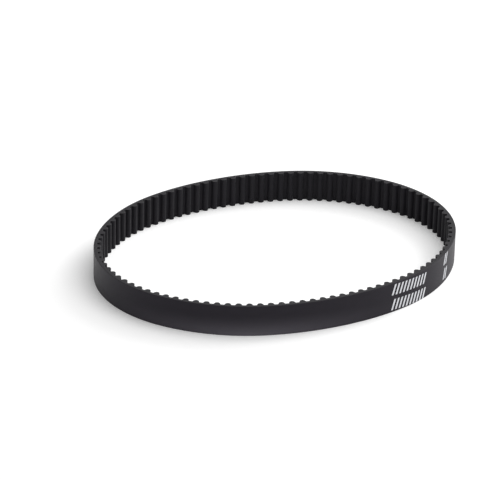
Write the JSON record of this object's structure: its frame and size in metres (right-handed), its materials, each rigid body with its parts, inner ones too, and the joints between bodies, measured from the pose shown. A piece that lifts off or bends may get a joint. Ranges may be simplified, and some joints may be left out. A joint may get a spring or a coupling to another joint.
{
  "type": "timing belt",
  "caption": "Closed-loop toothed rubber drive belt with a smooth back, rounded inner teeth, glass-fibre tension cords and a nylon tooth facing.",
  "frame": {"origin": "centre of the loop on its lower edge, which is what it stands on", "axes": "+Z across the belt's width, up from the surface it lies on; +X along the long axis of the oval that the free belt rests in; the teeth point in towards the Z axis"},
  "size_m": [0.0716, 0.056, 0.006],
  "materials": {
    "rubber": "matte",
    "cord": "satin",
    "facing": "matte"
  },
  "bodies": {
    "link_01": {"rubber_link_01": "rubber", "glass_cords_01": "cord", "nylon_facing_01": "facing"},
    "link_02": {"rubber_link_02": "rubber", "glass_cords_02": "cord", "nylon_facing_02": "facing"},
    "link_03": {"rubber_link_03": "rubber", "glass_cords_03": "cord", "nylon_facing_03": "facing"},
    "link_04": {"rubber_link_04": "rubber", "glass_cords_04": "cord", "nylon_facing_04": "facing"},
    "link_05": {"rubber_link_05": "rubber", "glass_cords_05": "cord", "nylon_facing_05": "facing"},
    "link_06": {"rubber_link_06": "rubber", "glass_cords_06": "cord", "nylon_facing_06": "facing"},
    "link_07": {"rubber_link_07": "rubber", "glass_cords_07": "cord", "nylon_facing_07": "facing"},
    "link_08": {"rubber_link_08": "rubber", "glass_cords_08": "cord", "nylon_facing_08": "facing"},
    "link_09": {"rubber_link_09": "rubber", "glass_cords_09": "cord", "nylon_facing_09": "facing"},
    "link_10": {"rubber_link_10": "rubber", "glass_cords_10": "cord", "nylon_facing_10": "facing"},
    "link_11": {"rubber_link_11": "rubber", "glass_cords_11": "cord", "nylon_facing_11": "facing"},
    "link_12": {"rubber_link_12": "rubber", "glass_cords_12": "cord", "nylon_facing_12": "facing"},
    "link_13": {"rubber_link_13": "rubber", "glass_cords_13": "cord", "nylon_facing_13": "facing"},
    "link_14": {"rubber_link_14": "rubber", "glass_cords_14": "cord", "nylon_facing_14": "facing"},
    "link_15": {"rubber_link_15": "rubber", "glass_cords_15": "cord", "nylon_facing_15": "facing"},
    "link_16": {"rubber_link_16": "rubber", "glass_cords_16": "cord", "nylon_facing_16": "facing"},
    "link_17": {"rubber_link_17": "rubber", "glass_cords_17": "cord", "nylon_facing_17": "facing"}
  },
  "joints": [
    {"name": "flex_027", "type": "hinge", "parent": "link_09", "child": "link_08", "pos_m": [0.03079, 0.01399, 0.003], "axis": [0, 0, -1], "range_deg": [-9.6, 6.9], "stiffness_Nm_per_rad": 0.05},
    {"name": "flex_009", "type": "hinge", "parent": "link_08", "child": "link_07", "pos_m": [0.03492, 0.00496, 0.003], "axis": [0, 0, -1], "range_deg": [-13.81, 9.94]},
    {"name": "flex_351", "type": "hinge", "parent": "link_07", "child": "link_06", "pos_m": [0.03492, -0.00496, 0.003], "axis": [0, 0, -1], "range_deg": [-13.81, 9.94]},
    {"name": "flex_333", "type": "hinge", "parent": "link_06", "child": "link_05", "pos_m": [0.03079, -0.01399, 0.003], "axis": [0, 0, -1], "range_deg": [-9.69, 6.97]},
    {"name": "flex_297", "type": "hinge", "parent": "link_05", "child": "link_04", "pos_m": [0.01478, -0.02541, 0.003], "axis": [0, 0, -1], "range_deg": [-6.97, 9.69]},
    {"name": "flex_279", "type": "hinge", "parent": "link_04", "child": "link_03", "pos_m": [0.00499, -0.02739, 0.003], "axis": [0, 0, -1], "range_deg": [-9.94, 13.81]},
    {"name": "flex_261", "type": "hinge", "parent": "link_03", "child": "link_02", "pos_m": [-0.00499, -0.02739, 0.003], "axis": [0, 0, -1], "range_deg": [-9.94, 13.81]},
    {"name": "flex_243", "type": "hinge", "parent": "link_02", "child": "link_01", "pos_m": [-0.01478, -0.02541, 0.003], "axis": [0, 0, -1], "range_deg": [-6.97, 9.69]},
    {"name": "flex_063", "type": "hinge", "parent": "link_09", "child": "link_10", "pos_m": [0.01478, 0.02541, 0.003], "axis": [0, 0, 1], "range_deg": [-6.97, 9.69]},
    {"name": "flex_081", "type": "hinge", "parent": "link_10", "child": "link_11", "pos_m": [0.00499, 0.02739, 0.003], "axis": [0, 0, 1], "range_deg": [-9.94, 13.81]},
    {"name": "flex_099", "type": "hinge", "parent": "link_11", "child": "link_12", "pos_m": [-0.00499, 0.02739, 0.003], "axis": [0, 0, 1], "range_deg": [-9.94, 13.81]},
    {"name": "flex_117", "type": "hinge", "parent": "link_12", "child": "link_13", "pos_m": [-0.01478, 0.02541, 0.003], "axis": [0, 0, 1], "range_deg": [-6.97, 9.69]},
    {"name": "flex_153", "type": "hinge", "parent": "link_13", "child": "link_14", "pos_m": [-0.03079, 0.01399, 0.003], "axis": [0, 0, 1], "range_deg": [-9.69, 6.97]},
    {"name": "flex_171", "type": "hinge", "parent": "link_14", "child": "link_15", "pos_m": [-0.03492, 0.00496, 0.003], "axis": [0, 0, 1], "range_deg": [-13.81, 9.94]},
    {"name": "flex_189", "type": "hinge", "parent": "link_15", "child": "link_16", "pos_m": [-0.03492, -0.00496, 0.003], "axis": [0, 0, 1], "range_deg": [-13.81, 9.94]},
    {"name": "flex_207", "type": "hinge", "parent": "link_16", "child": "link_17", "pos_m": [-0.03079, -0.01399, 0.003], "axis": [0, 0, 1], "range_deg": [-9.69, 6.97]}
  ],
  "couplings": [
    {"joint": "flex_243", "follows": "flex_027", "ratio": -1},
    {"joint": "flex_261", "follows": "flex_027", "ratio": -1.4259},
    {"joint": "flex_279", "follows": "flex_027", "ratio": -1.4259},
    {"joint": "flex_297", "follows": "flex_027", "ratio": -1},
    {"joint": "flex_333", "follows": "flex_027", "ratio": 1},
    {"joint": "flex_351", "follows": "flex_027", "ratio": 1.4259},
    {"joint": "flex_009", "follows": "flex_027", "ratio": 1.4259},
    {"joint": "flex_063", "follows": "flex_027", "ratio": -1},
    {"joint": "flex_081", "follows": "flex_027", "ratio": -1.4259},
    {"joint": "flex_099", "follows": "flex_027", "ratio": -1.4259},
    {"joint": "flex_117", "follows": "flex_027", "ratio": -1},
    {"joint": "flex_153", "follows": "flex_027", "ratio": 1},
    {"joint": "flex_171", "follows": "flex_027", "ratio": 1.4259},
    {"joint": "flex_189", "follows": "flex_027", "ratio": 1.4259},
    {"joint": "flex_207", "follows": "flex_027", "ratio": 1}
  ]
}
